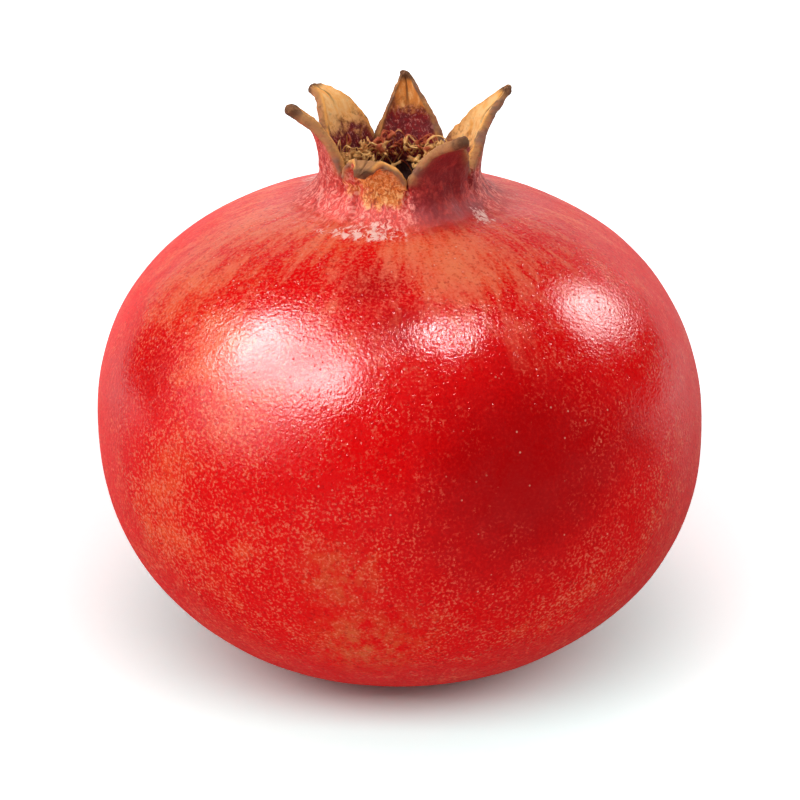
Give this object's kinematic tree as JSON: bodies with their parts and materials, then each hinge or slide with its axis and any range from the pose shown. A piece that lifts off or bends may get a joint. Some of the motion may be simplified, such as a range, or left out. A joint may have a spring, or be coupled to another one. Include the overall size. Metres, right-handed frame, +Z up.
{
  "type": "pomegranate",
  "caption": "Whole fresh pomegranate: a round, leathery red fruit that stands on a small flat spot, with an open crown of pointed calyx lobes round dried stamens.",
  "frame": {"origin": "on the resting surface, under the middle of the fruit", "axes": "+Z up through the crown along the fruit's axis; -Y is the side with the low, curled calyx lobe"},
  "size_m": [0.0948, 0.0956, 0.092],
  "materials": {
    "rind": "waxy, semi-gloss, finely pitted",
    "stamen": "dry, matte",
    "style": "dry, matte",
    "stalk": "dry, matte"
  },
  "bodies": {
    "root": {"fruit": "rind", "stalk_end": "stalk", "style": "style", "stamen_01": "stamen", "stamen_02": "stamen", "stamen_03": "stamen", "stamen_04": "stamen", "stamen_05": "stamen", "stamen_06": "stamen", "stamen_07": "stamen", "stamen_08": "stamen", "stamen_09": "stamen", "stamen_10": "stamen", "stamen_11": "stamen", "stamen_12": "stamen", "stamen_13": "stamen", "stamen_14": "stamen", "stamen_15": "stamen", "stamen_16": "stamen", "stamen_17": "stamen", "stamen_18": "stamen", "stamen_19": "stamen", "stamen_20": "stamen", "stamen_21": "stamen", "stamen_22": "stamen", "stamen_23": "stamen", "stamen_24": "stamen", "stamen_25": "stamen", "stamen_26": "stamen", "stamen_27": "stamen", "stamen_28": "stamen", "stamen_29": "stamen", "stamen_30": "stamen", "stamen_31": "stamen", "stamen_32": "stamen", "stamen_33": "stamen", "stamen_34": "stamen", "stamen_35": "stamen", "stamen_36": "stamen", "stamen_37": "stamen", "stamen_38": "stamen", "stamen_39": "stamen", "stamen_40": "stamen", "stamen_41": "stamen", "stamen_42": "stamen", "stamen_43": "stamen", "stamen_44": "stamen", "stamen_45": "stamen", "stamen_46": "stamen", "stamen_47": "stamen", "stamen_48": "stamen"}
  },
  "joints": []
}
